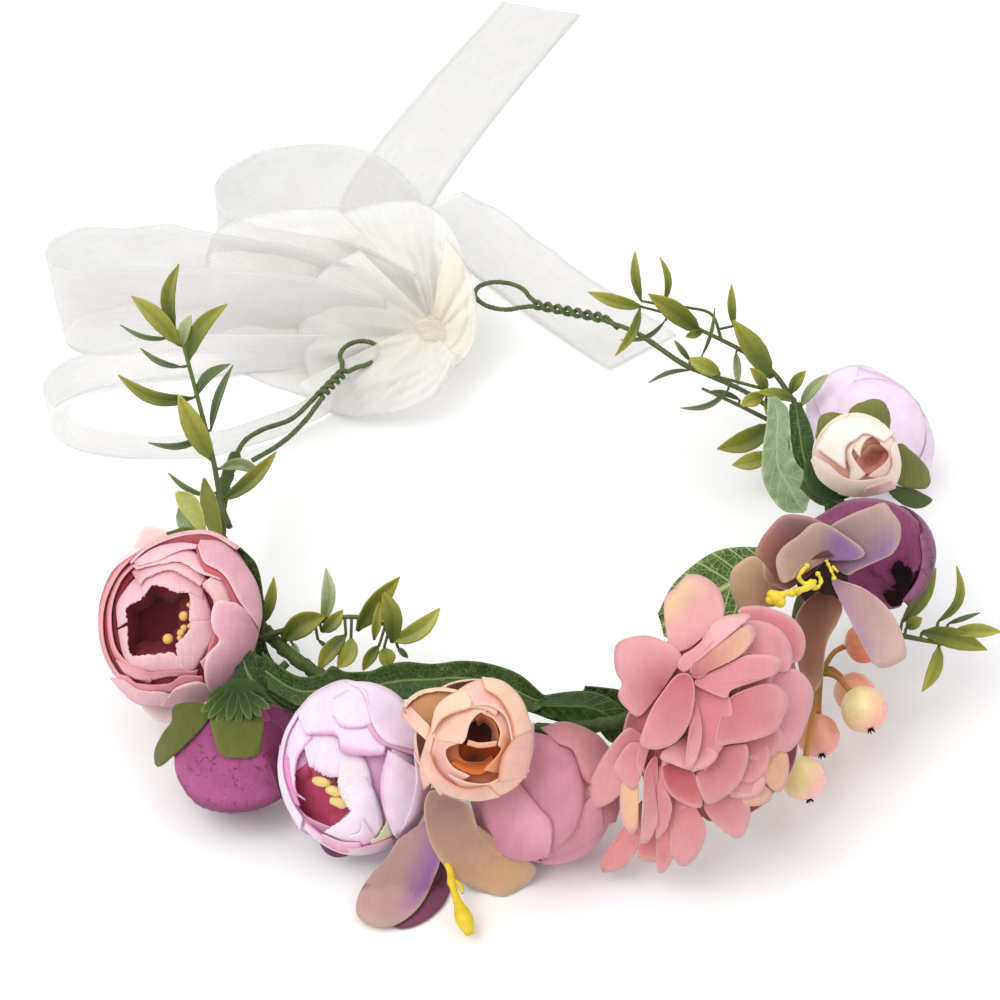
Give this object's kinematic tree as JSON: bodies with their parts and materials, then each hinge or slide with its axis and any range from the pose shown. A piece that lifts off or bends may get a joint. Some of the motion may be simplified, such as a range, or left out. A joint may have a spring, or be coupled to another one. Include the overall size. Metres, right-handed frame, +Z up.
{
  "type": "flower crown",
  "caption": "Open wreath of taped wire carrying fabric flowers, buds, leaves, sprigs and berries, with wire eyes at the open back and an organza ribbon bow that ties it round the head.",
  "frame": {"origin": "on the surface the crown lies on, under the middle of the whole part, ribbon included", "axes": "+Z up through the head opening, -Y to the flower side (front), +Y to the open back and the ribbon tail"},
  "size_m": [0.3063, 0.5195, 0.0884],
  "materials": {
    "wire_steel": "bare floral wire",
    "floral_tape": "waxed crepe tape",
    "paper_wire": "paper wrapped thin wire",
    "petal_rose": "woven petal cloth, dusty rose",
    "petal_rose_heart": "woven petal cloth, deep rose",
    "petal_blush": "woven petal cloth, blush",
    "petal_magenta": "woven petal cloth, magenta",
    "petal_lilac": "woven petal cloth, lilac pink",
    "petal_peach": "woven petal cloth, peach",
    "petal_peach_heart": "woven petal cloth, burnt orange heart",
    "petal_mauve": "woven petal cloth, dusty mauve",
    "petal_dusty": "woven petal cloth, dusty rose",
    "petal_taupe": "woven petal cloth, taupe to violet",
    "petal_plum": "woven petal cloth, plum",
    "petal_cream": "woven petal cloth, cream and pink",
    "petal_pale": "woven petal cloth, pale lilac",
    "stamen_yellow": "moulded yellow stamens",
    "sepal_olive": "olive sepal cloth",
    "leaf_fabric": "printed leaf cloth with veins",
    "leaf_pale": "printed leaf cloth, grey green",
    "sprig_plastic": "soft moulded leaves",
    "berry_skin": "waxy berry shell",
    "organza": "sheer organza, woven edge"
  },
  "bodies": {
    "frame": {"wire_front": "wire_steel", "tape_wrap": "floral_tape", "peony_rose_petals_outer": "petal_rose", "peony_rose_petals_inner": "petal_rose_heart", "peony_rose_stamens": "stamen_yellow", "peony_rose_calyx": "sepal_olive", "peony_lilac_petals_outer": "petal_lilac", "peony_lilac_petals_inner": "petal_rose_heart", "peony_lilac_stamens": "stamen_yellow", "peony_lilac_calyx": "sepal_olive", "rose_peach_petals": "petal_peach", "rose_peach_heart": "petal_peach_heart", "rose_peach_calyx": "sepal_olive", "bud_magenta": "petal_magenta", "bud_magenta_sepals": "sepal_olive", "bud_mauve": "petal_mauve", "bud_mauve_sepals": "sepal_olive", "bud_plum": "petal_plum", "bud_plum_sepals": "sepal_olive", "rosebud_cream_petals": "petal_cream", "rosebud_cream_sepals": "sepal_olive", "peony_pale_petals": "petal_pale", "peony_pale_calyx": "sepal_olive", "blush_petals": "petal_blush", "hydrangea_petals_outer": "petal_dusty", "hydrangea_petals_mid": "petal_dusty", "hydrangea_heart": "petal_dusty", "hydrangea_calyx": "sepal_olive", "orchid_low_petals": "petal_taupe", "orchid_low_pistil": "stamen_yellow", "orchid_top_petals": "petal_taupe", "orchid_top_stamens": "stamen_yellow", "leaf_long": "leaf_fabric", "leaf_gloss": "leaf_fabric", "leaf_veined": "leaf_fabric", "leaf_pale_right": "leaf_pale", "leaf_serrated": "leaf_fabric"},
    "left_arm": {"wire_left": "paper_wire", "ribbon_knot": "organza", "ribbon_loop_top": "organza", "ribbon_loop_left": "organza", "ribbon_loop_lower": "organza", "ribbon_tail_long": "organza", "ribbon_tail_right": "organza"},
    "right_arm": {"wire_right": "paper_wire", "sprig_lower": "sprig_plastic"},
    "sprig_left_stem": {"sprig_left": "sprig_plastic"},
    "sprig_mid_stem": {"sprig_mid": "sprig_plastic"},
    "sprig_upper_stem": {"sprig_upper": "sprig_plastic"},
    "sprig_front_stem": {"sprig_front": "sprig_plastic"},
    "berry_spray": {"berry_stems": "sepal_olive", "berry_a": "berry_skin", "berry_b": "berry_skin", "berry_c": "berry_skin", "berry_d": "berry_skin", "berry_e": "berry_skin"}
  },
  "joints": [
    {"name": "left_arm_bend", "type": "hinge", "parent": "frame", "child": "left_arm", "pos_m": [-0.0775, -0.0985, 0.028], "axis": [0, 0, 1], "range_deg": [-2, 10]},
    {"name": "right_arm_bend", "type": "hinge", "parent": "frame", "child": "right_arm", "pos_m": [0.1032, -0.0827, 0.028], "axis": [0, 0, 1], "range_deg": [-10, 2]},
    {"name": "sprig_left_bend", "type": "hinge", "parent": "frame", "child": "sprig_left_stem", "pos_m": [-0.0746, -0.1369, 0.033], "axis": [1, 0, 0], "range_deg": [-12, 12]},
    {"name": "sprig_mid_bend", "type": "hinge", "parent": "frame", "child": "sprig_mid_stem", "pos_m": [-0.0621, -0.1819, 0.0315], "axis": [0, 0, 1], "range_deg": [-4, 12]},
    {"name": "sprig_upper_bend", "type": "hinge", "parent": "frame", "child": "sprig_upper_stem", "pos_m": [0.1039, -0.0789, 0.0335], "axis": [0, 0, 1], "range_deg": [-8, 8]},
    {"name": "sprig_front_bend", "type": "hinge", "parent": "frame", "child": "sprig_front_stem", "pos_m": [0.1194, -0.1765, 0.028], "axis": [0, 0, 1], "range_deg": [-10, 10]},
    {"name": "berry_spray_bend", "type": "hinge", "parent": "frame", "child": "berry_spray", "pos_m": [0.0994, -0.1759, 0.024], "axis": [1, 0, 0], "range_deg": [-3, 3]}
  ]
}
